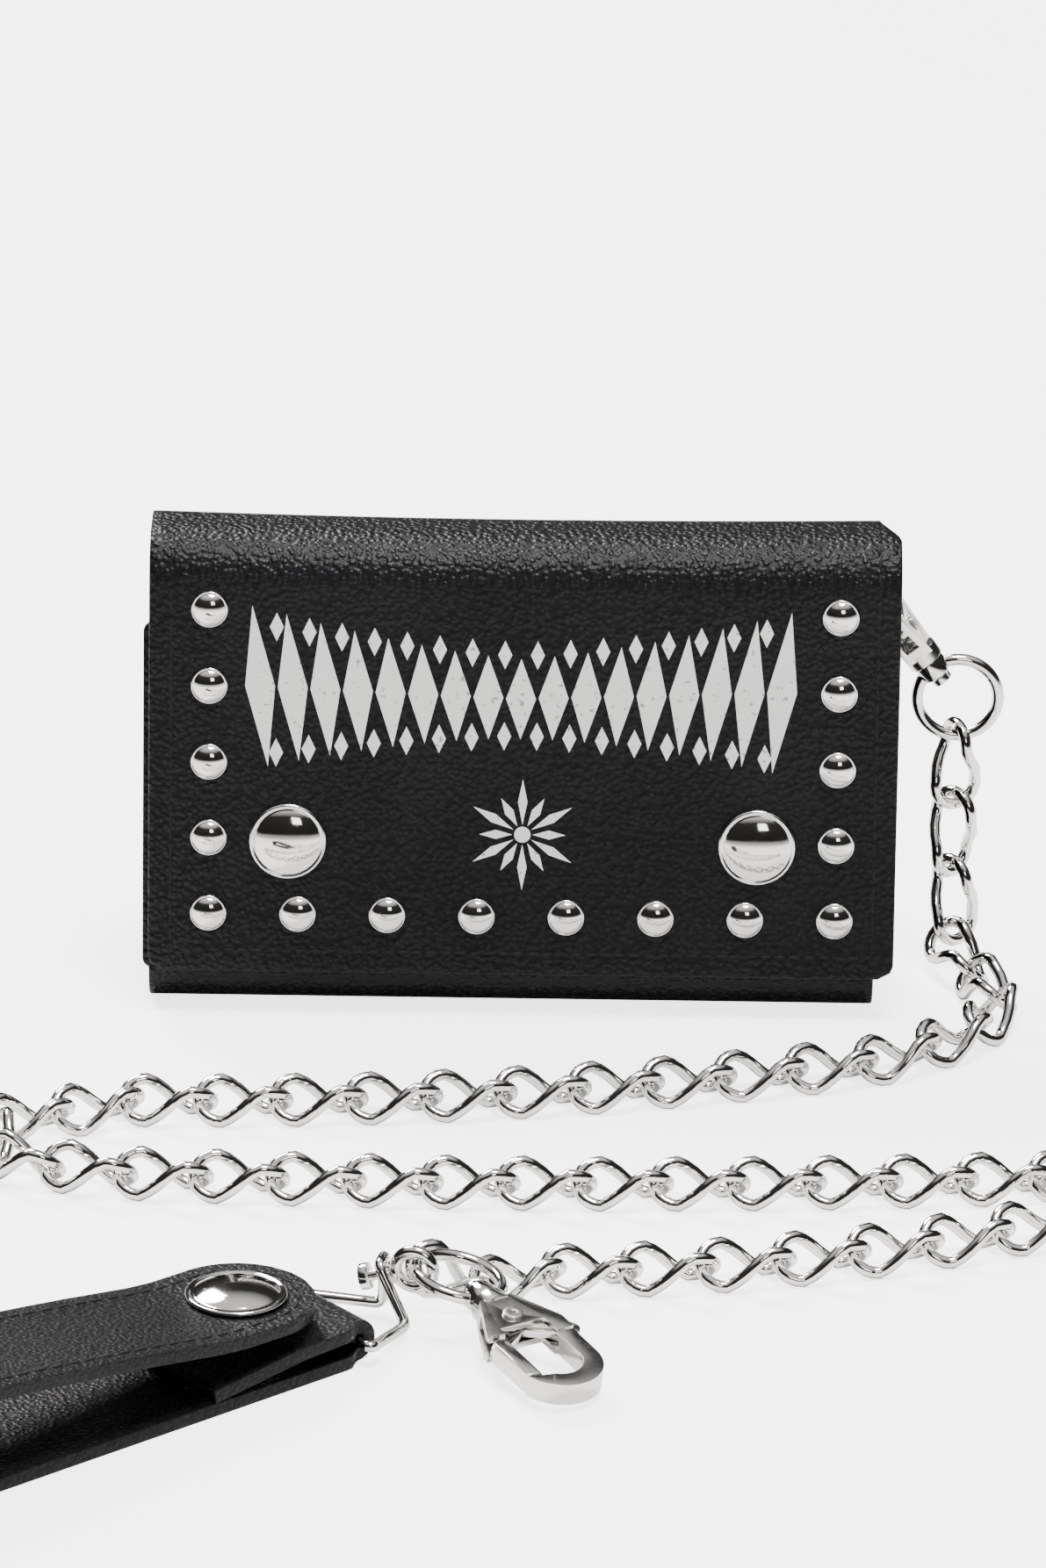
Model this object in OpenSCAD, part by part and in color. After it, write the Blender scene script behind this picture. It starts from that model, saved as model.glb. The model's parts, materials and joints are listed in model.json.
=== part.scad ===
// Chain wallet: a snap-front trifold wallet on a curb chain with a belt strap.
// Millimetres, Z up. The origin is the middle of the wallet's resting face.
// -Y is the wallet's front, where the flap and its snaps are.

/* [Wallet] */
// Width of the flap, left to right
wallet_w = 118; // [100:1:130]
// Height of the closed wallet
wallet_h = 76.5; // [70:0.5:85]
// Lean of the flap from upright, in degrees
lean = 8; // [4:1:12]
// Thickness of the leather
leather = 1.4; // [1:0.1:2]
// Thickness of the linings
lining = 0.8; // [0.5:0.1:1.2]

/* [Snaps and studs] */
// Diameter of a dome stud
stud_d = 5.8; // [4:0.2:8]
// Diameter of a flap snap cap
cap_d = 12.2; // [10:0.2:15]
// Diameter of the strap's snap cap
strap_cap_d = 15; // [12:0.5:18]

/* [Chain] */
// Wire of the chain links
wire = 1.9; // [1.4:0.1:2.4]
// Outside width of a link
link_w = 9; // [7:0.2:11]
// Spacing of the links along a straight run
pitch = 11.6; // [9:0.1:14]
// Twist of each link end out of flat, in degrees
twist = 45; // [30:1:50]
// Outside diameter of the round swivel rings
ring_d = 14.8; // [12:0.2:18]

/* [Strap] */
// Width of the belt strap
strap_w = 23; // [18:1:30]
// Thickness of the belt strap
strap_t = 2; // [1.6:0.1:3]
// Length from the belt ring to the far fold
strap_len = 92; // [70:1:120]

/* [Hidden] */
$fn = 48;
gap = 0.3;
end_r = (link_w - wire) / 2;
end_x = (pitch + wire + gap) / 2 - end_r;
ring_r = (ring_d - wire) / 2;
crown_r = 8.5;
edge_y = -16.8;
edge_z = 7.3;
face_h = 62.5;
back_y = 9;
fold_r = 6;
panel_y = leather + 1 + 0.5;
panel_h = 55.8;
snap_x = 37;
snap_z = 21.5;
eyelet_p = [51.4, 0, 67.8];
hook_a_p = [63.9, 7.9, 52.3];
hook_a_climb = 51;
hook_a_len = 21.5;
hook_b_p = [-4, -136.7, 6.5];
hook_b_head = -57;
hook_b_climb = -8.6;
hook_b_len = 25.5;
strap_p = [-29, -135, 0];
strap_head = 220.3;
nose_p = [-19.6, -129, 7.6];
nose_head = -12.6;
nose_climb = 15;

back_leather();
back_lining();
bill_divider();
card_base();
card_pocket_low();
card_pocket_mid();
card_pocket_high();
gusset_left();
gusset_right();
eyelet();
eyelet_washer();
flap_leather();
flap_lining();
dome_studs_left();
dome_studs_right();
dome_studs_bottom();
snap_cap_left();
snap_cap_right();
snap_socket_left();
snap_socket_right();
panel_leather();
panel_lining();
id_frame();
id_window();
snap_stud_left();
snap_stud_right();
hook_a_body();
hook_a_gate();
hook_a_pin();
hook_a_spring();
ring_a();
chain_drop();
chain_run_back();
chain_turn_left();
chain_run_middle();
chain_turn_right();
chain_run_front();
ring_b();
hook_b_body();
hook_b_gate();
hook_b_pin();
hook_b_spring();
belt_swivel();
belt_ring();
strap_base();
strap_top();
strap_cap();
strap_socket();
strap_stud();

// ---- helpers ----

// Places a piece by its point, heading about Z, climb of its X axis, and roll.
module at(p, head = 0, climb = 0, roll = 0) {
  translate(p) rotate([0, 0, head]) rotate([0, -climb, 0]) rotate([roll, 0, 0]) children();
}

// A round rod between two points, carried on past both by the same amount.
module rod(a, b, d, past = 0) {
  v = b - a;
  translate(a - past * v / norm(v)) rotate([0, acos(v[2] / norm(v)), atan2(v[1], v[0])])
    cylinder(h = norm(v) + 2 * past, d = d);
}

// A round wire through a list of points, with ball corners.
module wire_path(points, d, closed = false) {
  last = closed ? len(points) - 1 : len(points) - 2;
  for (i = [0 : last]) rod(points[i], points[(i + 1) % len(points)], d);
  for (p = points) translate(p) sphere(d = d * 1.03);
}

// Part of a round wire ring in the XY plane; side = -1 starts it on the other side.
module arc_wire(r, d, from = 0, sweep = 360, side = 1) {
  rotate([0, 0, from + (side < 0 ? 180 : 0)]) rotate_extrude(angle = sweep)
    translate([r, 0]) circle(d = d);
}

// Carries a drawing of the side view (Y across, Z up) along X between two values.
module along_x(x0, x1) {
  translate([x0, 0, 0]) rotate([90, 0, 90]) linear_extrude(x1 - x0) children();
}

// The flap's own frame: Z up its face from the lower edge, -Y out of it.
module flap_frame() {
  translate([0, edge_y, edge_z]) rotate([-lean, 0, 0]) children();
}

// A plain plate between two corners.
module plate(low, high) {
  translate(low) cube(high - low);
}

// A rounded plate standing in the XZ plane, from y0 to y1.
module round_plate(x0, x1, z0, z1, y0, y1, r) {
  translate([0, y1, 0]) rotate([90, 0, 0]) linear_extrude(y1 - y0) {
    translate([x0 + r, z0]) square([x1 - x0 - 2 * r, z1 - z0]);
    translate([x0, z0 + r]) square([x1 - x0, z1 - z0 - 2 * r]);
    for (x = [x0 + r, x1 - r], z = [z0 + r, z1 - r]) translate([x, z]) circle(r);
  }
}

// ---- wallet back, the body that everything else is carried by ----

// Side view of a layer of the back, between two depths from the outside.
module back_outline(out, in) {
  // straight rear wall
  translate([back_y - in, fold_r]) square([in - out, wallet_h - 3.5 - fold_r]);
  // resting face
  translate([-8, out]) square([11, in - out]);
  // rear lower corner, front fold and rear upper corner
  quarter([3, fold_r], fold_r - out, fold_r - in, 270);
  quarter([-8, fold_r], fold_r - out, fold_r - in, 180);
  quarter([back_y - 3.5, wallet_h - 3.5], 3.5 - out, 3.5 - in, 0);
  // flat top up to the crown
  translate([0.3, wallet_h - in]) square([back_y - 3.5 - 0.3, in - out]);
}

// A quarter ring in the side view, counted from the angle given.
module quarter(c, outer, inner, from) {
  translate(c) rotate(from) intersection() {
    difference() {
      circle(outer);
      circle(inner);
    }
    square(outer + 1);
  }
}

module back_leather() {
  color("#1b1b1d") difference() {
    along_x(-59, 56) back_outline(0, leather);
    translate([eyelet_p[0], back_y + 1, eyelet_p[2]]) rotate([90, 0, 0]) cylinder(h = 5, r = 3.4);
  }
}

module back_lining() {
  color("#26262a") difference() {
    along_x(-58, 55.5) {
      translate([back_y - leather - lining, fold_r]) square([lining, 66]);
      quarter([3, fold_r], fold_r - leather, fold_r - leather - lining, 270);
      translate([-8, leather]) square([11, lining]);
    }
    translate([eyelet_p[0], back_y + 1, eyelet_p[2]]) rotate([90, 0, 0]) cylinder(h = 5, r = 3.4);
  }
}

module bill_divider() {
  color("#2c2c30") difference() {
    plate([-55, 4.6, 3], [53, 5.2, 66]);
    plate([42, 4, 46], [60, 6, 70]);
  }
}

module card_base() {
  color("#1f1f22") difference() {
    plate([-57, 2.2, 3], [55, 3.2, 64]);
    plate([42, 1, 45], [60, 4, 70]);
  }
}

module card_pocket_low() {
  color("#1f1f22") plate([-54, -0.2, 3.5], [41, 0.5, 38]);
}

module card_pocket_mid() {
  color("#1f1f22") plate([-54, 0.6, 3.5], [41, 1.3, 48]);
}

module card_pocket_high() {
  color("#1f1f22") plate([-54, 1.4, 3.5], [41, 2.1, 58]);
}

module gusset_left() {
  color("#2c2c30") plate([-57, 3.2, 6.2], [-55, 6.8, 62]);
}

module gusset_right() {
  color("#2c2c30") plate([53, 3.2, 6.2], [55, 6.8, 44]);
}

module eyelet() {
  color("#d8d4cc") translate([eyelet_p[0], 0, eyelet_p[2]]) rotate([-90, 0, 0]) difference() {
    union() {
      translate([0, 0, back_y]) cylinder(h = 0.7, r = 4.6);
      translate([0, 0, 6.1]) cylinder(h = 3, r = 3.4);
    }
    translate([0, 0, 5]) cylinder(h = 6, r = 2.8);
  }
}

module eyelet_washer() {
  color("#d8d4cc") translate([eyelet_p[0], 0, eyelet_p[2]]) rotate([-90, 0, 0]) difference() {
    translate([0, 0, 6.1]) cylinder(h = 0.7, r = 4.6);
    translate([0, 0, 5]) cylinder(h = 3, r = 3.4);
  }
}

// ---- flap ----

// Side view of a layer of the flap: the rounded crown and the leaning face.
module flap_outline(out, in) {
  intersection() {
    translate([0.3, wallet_h - crown_r]) difference() {
      circle(crown_r - out);
      circle(crown_r - in);
    }
    translate([0.3, wallet_h - crown_r]) polygon([[0, 0], [0, 12], [-12, 12], [-12, 12 * tan(lean)]]);
  }
  translate([edge_y, edge_z]) rotate(-lean) translate([out, 0]) square([in - out, face_h]);
}

// Cuts for the posts of the studs and snaps.
module post_holes(depth) {
  flap_frame() for (p = stud_places()) translate([p[0], depth, p[1]]) rotate([90, 0, 0])
    cylinder(h = 2 * depth, r = 0.8);
  flap_frame() for (s = [-1, 1]) translate([s * snap_x, depth, snap_z]) rotate([90, 0, 0])
    cylinder(h = 2 * depth, r = 1.5);
}

// The flap's outline seen from the front, with its two rounded lower corners.
module flap_silhouette() {
  flap_frame() round_plate(-wallet_w / 2, wallet_w / 2, 0, 100, -30, 40, 2.5);
}

module flap_leather() {
  color("#161618") difference() {
    intersection() {
      along_x(-wallet_w / 2, wallet_w / 2) flap_outline(0, leather);
      flap_silhouette();
    }
    post_holes(3);
  }
}

module flap_lining() {
  color("#222226") difference() {
    intersection() {
      along_x(-wallet_w / 2 + 0.6, wallet_w / 2 - 0.6) flap_outline(leather, leather + 1);
      flap_silhouette();
    }
    flap_frame() for (s = [-1, 1]) translate([s * snap_x, 5, snap_z]) rotate([90, 0, 0])
      cylinder(h = 6, r = 5.2);
  }
}

// Stud places on the flap, as [x, height up the face].
function side_studs(s) = [for (i = [1 : 4]) [s * 49.5, 9.6 + 12.3 * i]];
function bottom_studs() = [for (i = [0 : 7]) [-49.5 + 99 / 7 * i, 9.6]];
function stud_places() = concat(side_studs(-1), side_studs(1), bottom_studs());

// A low dome of a given width and height, flat side on z = 0.
module dome(d, h) {
  r = (d * d / 4 + h * h) / (2 * h);
  intersection() {
    translate([0, 0, h - r]) sphere(r, $fn = 120);
    cylinder(h = h + 1, d = d);
  }
}

module dome_stud(p) {
  flap_frame() translate([p[0], 0, p[1]]) rotate([90, 0, 0]) {
    translate([0, 0, 0.35]) dome(stud_d, 1.1);
    cylinder(h = 0.35, d = stud_d);
    translate([0, 0, -leather]) cylinder(h = leather, r = 0.8);
  }
}

module dome_studs_left() {
  color("#e4e0d8") for (p = side_studs(-1)) dome_stud(p);
}

module dome_studs_right() {
  color("#e4e0d8") for (p = side_studs(1)) dome_stud(p);
}

module dome_studs_bottom() {
  color("#e4e0d8") for (p = bottom_studs()) dome_stud(p);
}

module snap_cap(s) {
  color("#e4e0d8") flap_frame() translate([s * snap_x, 0, snap_z]) rotate([90, 0, 0]) {
    translate([0, 0, 0.6]) dome(cap_d, 1.4);
    cylinder(h = 0.6, d = cap_d);
    translate([0, 0, -leather]) cylinder(h = leather, r = 1.5);
  }
}

module snap_cap_left() {
  snap_cap(-1);
}

module snap_cap_right() {
  snap_cap(1);
}

module snap_socket(s) {
  color("#c9c5bd") flap_frame() translate([s * snap_x, leather, snap_z]) rotate([-90, 0, 0])
    difference() {
      cylinder(h = 1.1, r = 4.9);
      translate([0, 0, 0.3]) cylinder(h = 2, r = 2.9);
    }
}

module snap_socket_left() {
  snap_socket(-1);
}

module snap_socket_right() {
  snap_socket(1);
}

// ---- lower panel, folded up under the flap ----

module panel_leather() {
  color("#19191b") difference() {
    flap_frame() round_plate(-60, 56.5, -0.3, panel_h, panel_y, panel_y + leather, 1.5);
    flap_frame() for (s = [-1, 1]) translate([s * snap_x, panel_y + 3, snap_z]) rotate([90, 0, 0]) {
      cylinder(h = 4, r = 1.2);
      translate([0, 0, 2.5]) cylinder(h = 2, r = 4.6);
    }
  }
}

module panel_lining() {
  color("#26262a") flap_frame()
    plate([-59, panel_y + leather, 0.4], [55.5, panel_y + leather + lining, panel_h - 1]);
}

module id_frame() {
  color("#1f1f22") flap_frame() difference() {
    plate([-50, panel_y + leather + lining, 6], [50, panel_y + leather + lining + 0.9, panel_h - 2]);
    plate([-38, panel_y + leather + lining - 1, 11], [38, panel_y + leather + lining + 2, panel_h - 8]);
  }
}

module id_window() {
  color("#9fb0b8", 0.4) flap_frame()
    plate([-38, panel_y + leather + lining, 11], [38, panel_y + leather + lining + 0.4, panel_h - 8]);
}

module snap_stud(s) {
  color("#c9c5bd") flap_frame() translate([s * snap_x, panel_y, snap_z]) rotate([90, 0, 0]) {
    translate([0, 0, -0.5]) cylinder(h = 0.5, r = 4.6);
    translate([0, 0, -leather]) cylinder(h = leather, r = 1.2);
    cylinder(h = 0.7, r = 1.5);
    translate([0, 0, 0.6]) cylinder(h = 0.5, r = 1.8);
  }
}

module snap_stud_left() {
  snap_stud(-1);
}

module snap_stud_right() {
  snap_stud(1);
}

// ---- trigger hook: X along it from the collar, Y across, Z its thickness ----

// Outside shape of the hook's frame.
module hook_shape(l) {
  polygon([[1.5, -2.7], [1.5, 2.7], [9.5, 6.5], [l - 6.5, 6.5], [l - 6.5, -6.5], [9.5, -6.5]]);
  translate([l - 6.5, 0]) circle(6.5);
}

// The D-shaped opening inside it.
module hook_opening(l) {
  translate([9, -3.8]) square([l - 15.9, 7.6]);
  translate([l - 6.9, 0]) circle(3.8);
}

module hook_body(l) {
  color("#ddd8cf") difference() {
    union() {
      rotate([0, 90, 0]) cylinder(h = 2.2, d = 5.8);
      // swivel post and its riveted head inside the ring
      translate([-4.4, 0, 0]) rotate([0, 90, 0]) cylinder(h = 4.5, d = 1.8);
      translate([-4.4, 0, 0]) rotate([0, 90, 0]) cylinder(h = 1, d = 3.2);
      translate([0, 0, -1.7]) linear_extrude(3.4) hook_shape(l);
      translate([0, 0, -2.2]) linear_extrude(4.4) intersection() {
        hook_shape(l);
        translate([0, -8]) square([12.6, 16]);
      }
    }
    translate([0, 0, -3]) linear_extrude(6) hook_opening(l);
    // mouth closed by the gate, its far face a curve about the pin
    intersection() {
      translate([10.4, -8, -3]) cube([l, 5.6, 6]);
      translate([6.4, 0, -3]) cylinder(h = 6, r = l - 10.1);
    }
    // slot for the lever
    translate([3.6, -8, -1.2]) cube([6.9, 16, 2.4]);
    translate([8, 0, -1.2]) cube([5.2, 9, 2.4]);
    translate([6.4, 0, -3]) cylinder(h = 6, r = 0.8);
  }
}

module hook_gate(l) {
  color("#d2cdc4") difference() {
    translate([0, 0, -0.9]) linear_extrude(1.3) {
      translate([6.4, 0]) circle(2.2);
      polygon([[4.6, -1.2], [7, -2], [10.6, -6.2], [l - 6.2, -6.2], [l - 6.2, -4.1],
        [11.6, -4.1], [8.4, 0.8], [6.4, 2.2]]);
      polygon([[5.2, 1.8], [8.4, 0.8], [11.4, 6.4], [9.2, 7.4]]);
      translate([10.6, 7.3]) circle(1.6);
    }
    translate([6.4, 0, -3]) cylinder(h = 6, r = 1.1);
  }
  // bar across the mouth, its end a curve about the pin
  color("#d2cdc4") intersection() {
    translate([11.2, -6.2, -1.7]) cube([l, 2.1, 3.4]);
    translate([6.4, 0, -3]) cylinder(h = 6, r = l - 10.4);
  }
}

module hook_pin() {
  color("#b9b4ab") difference() {
    union() {
      translate([6.4, 0, -2.5]) cylinder(h = 5, r = 0.8);
      translate([6.4, 0, 2.2]) cylinder(h = 0.4, r = 1.5);
      translate([6.4, 0, -2.6]) cylinder(h = 0.4, r = 1.5);
    }
    translate([6.4, 0, -3]) cylinder(h = 6, r = 0.4);
  }
}

module hook_spring() {
  color("#8f8c86") translate([6.4, 0, 0.8]) {
    arc_wire(1.55, 0.4);
    rod([-1.55, 0, 0], [-2.6, -3, 0], 0.4);
  }
}

module hook_a_frame() {
  at(hook_a_p, 180, hook_a_climb, 180) children();
}

module hook_b_frame() {
  at(hook_b_p, hook_b_head, hook_b_climb, 0) children();
}

module hook_a_body() {
  hook_a_frame() hook_body(hook_a_len);
}

module hook_a_gate() {
  hook_a_frame() hook_gate(hook_a_len);
}

module hook_a_pin() {
  hook_a_frame() hook_pin();
}

module hook_a_spring() {
  hook_a_frame() hook_spring();
}

module hook_b_body() {
  hook_b_frame() hook_body(hook_b_len);
}

module hook_b_gate() {
  hook_b_frame() hook_gate(hook_b_len);
}

module hook_b_pin() {
  hook_b_frame() hook_pin();
}

module hook_b_spring() {
  hook_b_frame() hook_spring();
}

// Round swivel ring with the boss that the hook's post turns in.
module swivel_ring() {
  color("#ddd8cf") translate([-ring_r - 1.7, 0, 0]) difference() {
    union() {
      arc_wire(ring_r, wire);
      translate([ring_r - 1.1, 0, 0]) rotate([0, 90, 0]) cylinder(h = 2.5, d = 5);
    }
    translate([ring_r - 3, 0, 0]) rotate([0, 90, 0]) cylinder(h = 6, r = 1.2);
  }
}

module ring_a() {
  hook_a_frame() rotate([90, 0, 0]) swivel_ring();
}

module ring_b() {
  hook_b_frame() rotate([-10, 0, 0]) swivel_ring();
}

// ---- chain ----

// One twisted curb link along X, its two ends tilted opposite ways.
module link() {
  for (s = [-1, 1]) translate([s * end_x, 0, 0]) rotate([-s * twist, 0, 0])
    arc_wire(end_r, wire, -98, 196, s);
  c = end_r * cos(twist);
  h = end_r * sin(twist);
  for (s = [-1, 1]) rod([-end_x, s * c, s * h], [end_x, s * c, -s * h], wire - 0.04, 0.4);
}

// A run of links on the floor: start point, first heading, turn at each link, count.
function run(start, head, turn, count) =
  [for (i = [0 : count - 1]) [run_point(start, head, turn, i), head + turn * i, 0, 0]];
function run_point(start, head, turn, i) =
  start + pitch * steps(head, turn, i) + pitch / 2 * unit(head + turn * i);
function steps(head, turn, n) =
  n == 0 ? [0, 0, 0] : unit(head + turn * (n - 1)) + steps(head, turn, n - 1);
function unit(a) = [cos(a), sin(a), 0];

// Links that hang or turn, each as [middle, heading, climb, roll].
drop_links = [
  [[69.1, 7.9, 34.6], 16.1, -89.8, -53.6],
  [[69, 7.8, 22.9], 10.9, -91.3, -80.9],
  [[69.5, 6.9, 11.5], -25.8, -83.2, -110.4],
  [[70, 0.9, 4.6], -63.3, -14.3, 3.4],
  [[74.1, -9.8, 3.7], -68.9, -1.1, 4.7]
];
near_links = [
  [[74.4, -20.7, 3.7], -108.6, -4.4, 1],
  [[68.3, -30.2, 3.7], -134.3, -1.2, 0.2],
  [[59.2, -37.3, 3.6], -149.8, -3.4, 2.2]
];
left_in_links = [
  [[-64.8, -61.1, 3.5], -153.6, 0, 0],
  [[-75.3, -65.8, 3.7], -154.5, 0.5, -1.5]
];
left_links = [[[-80.6, -73.6, 3.6], -91.5, 2.3, -1]];
left_out_links = [
  [[-75.7, -81.3, 3.5], -24.4, 0, 0],
  [[-64.9, -84.5, 3.5], -13.3, 0, 0]
];
right_in_links = [[[84.6, -81.9, 3.6], 17, -0.9, 3.9]];
right_links = [[[91.5, -85.5, 3.7], -70.2, -6.5, 5.5]];
right_out_links = [
  [[87.8, -94.1, 3.9], -144, -3.6, 7.7],
  [[77.9, -100, 3.7], -154.4, -1.9, -1.5]
];
end_links = [
  [[0.2, -121, 3.5], -155.1, -0.7, 0.3],
  [[-9.3, -123.3, 4.7], -170, 23.7, -15.3]
];

module links(list) {
  color("#e0dbd2") for (l = list) at(l[0], l[1], l[2], l[3]) link();
}

module chain_drop() {
  links(drop_links);
}

module chain_run_back() {
  links(concat(near_links, run([54.2, -40.2, 3.46], -162.5, -1.85, 10), left_in_links));
}

module chain_turn_left() {
  links(left_links);
}

module chain_run_middle() {
  links(concat(left_out_links, run([-59.4, -85.6, 3.46], -3.5, 0.85, 12), right_in_links));
}

module chain_turn_right() {
  links(right_links);
}

module chain_run_front() {
  links(concat(right_out_links, run([72.6, -102.4, 3.46], -158, -3.4, 6), end_links));
}

// ---- belt end ----

// Swivel post with a riveted head inside the belt ring and a round eye outside it.
module belt_swivel() {
  color("#ddd8cf") at(nose_p, nose_head, nose_climb) {
    translate([-3.2, 0, 0]) rotate([0, 90, 0]) cylinder(h = 1.2, d = 4);
    translate([-3.2, 0, 0]) rotate([0, 90, 0]) cylinder(h = 5, d = 1.6);
    translate([1.25, 0, 0]) rotate([0, 90, 0]) cylinder(h = 1.3, d = 3.4);
    translate([5, 0, 0]) rotate([90, 0, 0]) arc_wire(2.8, 1.9);
  }
}

// Bent wire ring: a bar inside the strap's fold, two arms and a raised narrow nose.
module belt_ring() {
  color("#ddd8cf") wire_path([
    [-20.9, -145, 3.2], [-16, -134, 1.7], [-20.1, -131.1, 9.9],
    [-19.3, -127.1, 9.9], [-19.6, -126.6, 1.7], [-37.6, -125.3, 3.2]
  ], 1.7, true);
}

// The strap's own frame: X along it from the belt ring, Y across, Z up.
module strap_frame() {
  at(strap_p, strap_head) children();
}

// Carries the strap's side view (X along, Y up) across its width.
module across_strap() {
  strap_frame() translate([0, strap_w / 2, 0]) rotate([90, 0, 0]) linear_extrude(strap_w) children();
}

far_x = strap_len - 8.5;

module strap_base() {
  color("#1a1a1c") difference() {
    across_strap() {
      // ply on the floor, and the far fold
      translate([0.3, 0]) square([far_x - 0.3, strap_t]);
      translate([far_x, 8.5]) intersection() {
        difference() {
          circle(8.5);
          circle(8.5 - strap_t);
        }
        translate([0, -9]) square([9, 18]);
      }
      // turn round the belt ring's bar, then the lap back onto the ply
      translate([0.3, 3.2]) intersection() {
        difference() {
          circle(3.2);
          circle(3.2 - strap_t);
        }
        translate([-4, -4]) square([4, 8]);
      }
      polygon([[0.3, 6.4], [12, 6], [20, 5], [28, 4], [28, 2], [23, 2], [12, 3.9], [0.3, 4.4]]);
    }
    strap_frame() translate([15, 0, 5.2]) cylinder(h = 3, r = 5.2);
    // narrower where it turns between the belt ring's arms
    strap_frame() translate([0, 0, -1]) linear_extrude(9) {
      polygon([[-4, -8.1], [-4, -13], [4, -13], [2.6, -11.5], [0.6, -8.1]]);
      polygon([[-4, 9.9], [-4, 13], [3, 13], [1.6, 11.5], [0.6, 9.9]]);
    }
  }
}

// Side view of the upper ply, between two depths from its upper face.
function top_line(d) = [[3.2, 11 - d], [25, 11 - d], [34, 12.6 - d], [58, 15.6 - d],
  [72, 16.8 - d], [far_x - 0.3, 17 - d]];
function reversed(p) = [for (i = [len(p) - 1 : -1 : 0]) p[i]];

module strap_top() {
  color("#1a1a1c") difference() {
    intersection() {
      across_strap() polygon(concat(top_line(0), reversed(top_line(strap_t))));
      strap_frame() linear_extrude(30) {
        translate([15, 0]) circle(strap_w / 2);
        translate([15, -strap_w / 2]) square([80, strap_w]);
      }
    }
    strap_frame() translate([15, 0, 5]) cylinder(h = 10, r = 1.6);
  }
}

module strap_cap() {
  color("#e4e0d8") strap_frame() translate([15, 0, 11]) {
    translate([0, 0, 0.6]) dome(strap_cap_d, 1.6);
    cylinder(h = 0.6, d = strap_cap_d);
    translate([0, 0, -strap_t]) cylinder(h = strap_t, r = 1.6);
  }
}

module strap_socket() {
  color("#c9c5bd") strap_frame() translate([15, 0, 7.2]) difference() {
    cylinder(h = 1.8, r = 5.4);
    translate([0, 0, -0.5]) cylinder(h = 1.9, r = 3.1);
  }
}

module strap_stud() {
  color("#c9c5bd") strap_frame() translate([15, 0, 5.2]) {
    cylinder(h = 0.8, r = 5.2);
    cylinder(h = 2.2, r = 1.7);
    translate([0, 0, 2.1]) cylinder(h = 0.9, r = 2.2);
  }
}
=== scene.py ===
# %% [markdown]
# # A chain wallet, dressed for its looks
# The frame already holds every rigid piece at its true place, on bodies that turn on
# real joints. This lesson gives those pieces their surfaces, and remodels the soft and
# the cast ones: leather that rolls over the crown, twisted chain links, bent wire and
# polished clip hooks. Loading comes first, because every place is read from the frame.

# %% Load the frame
import bpy, bmesh, json, math
from mathutils import Matrix, Vector
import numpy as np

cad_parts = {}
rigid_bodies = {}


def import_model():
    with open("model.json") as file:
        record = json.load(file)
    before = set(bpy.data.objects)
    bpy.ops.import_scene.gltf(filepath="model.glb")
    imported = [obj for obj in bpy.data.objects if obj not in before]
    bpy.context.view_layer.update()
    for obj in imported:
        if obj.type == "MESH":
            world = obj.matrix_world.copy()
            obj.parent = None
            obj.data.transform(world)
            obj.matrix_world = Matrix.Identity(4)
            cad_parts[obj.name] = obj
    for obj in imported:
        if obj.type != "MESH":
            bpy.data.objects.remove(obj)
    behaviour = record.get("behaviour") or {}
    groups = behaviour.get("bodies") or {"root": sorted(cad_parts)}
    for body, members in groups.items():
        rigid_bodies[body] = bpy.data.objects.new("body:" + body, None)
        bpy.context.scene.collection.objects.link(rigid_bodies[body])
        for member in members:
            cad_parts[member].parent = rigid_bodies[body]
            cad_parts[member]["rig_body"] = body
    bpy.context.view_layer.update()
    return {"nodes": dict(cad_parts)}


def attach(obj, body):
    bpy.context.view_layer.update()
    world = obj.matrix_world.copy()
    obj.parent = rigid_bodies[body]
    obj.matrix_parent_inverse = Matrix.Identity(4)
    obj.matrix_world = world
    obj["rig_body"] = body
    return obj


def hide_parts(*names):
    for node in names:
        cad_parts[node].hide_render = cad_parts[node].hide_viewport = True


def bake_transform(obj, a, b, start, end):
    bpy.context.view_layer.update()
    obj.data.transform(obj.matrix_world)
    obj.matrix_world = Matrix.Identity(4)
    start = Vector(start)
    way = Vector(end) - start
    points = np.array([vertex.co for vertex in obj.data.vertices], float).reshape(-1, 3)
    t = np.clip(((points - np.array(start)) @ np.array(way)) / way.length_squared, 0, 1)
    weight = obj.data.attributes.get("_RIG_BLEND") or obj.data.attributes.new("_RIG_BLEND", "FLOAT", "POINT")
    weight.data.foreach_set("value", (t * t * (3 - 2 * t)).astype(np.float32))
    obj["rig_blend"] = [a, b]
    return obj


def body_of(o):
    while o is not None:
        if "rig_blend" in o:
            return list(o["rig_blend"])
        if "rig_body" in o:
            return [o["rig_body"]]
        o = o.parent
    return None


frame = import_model()
mm = 0.001

# %% [markdown]
# ## Camera, floor and light
# The wallet is looked at from its front, a little above, through a long lens. A wide,
# soft sun and one square lamp come from behind it on the left, so that the crown of the
# flap catches a bright band. Polished metal shows whatever stands around it, so the
# surround is dark apart from its top and its lowest part: that is where the crisp black
# lines in the chain come from. The paper floor glows, but only as the camera sees it,
# which makes it white without lighting the leather.

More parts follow.
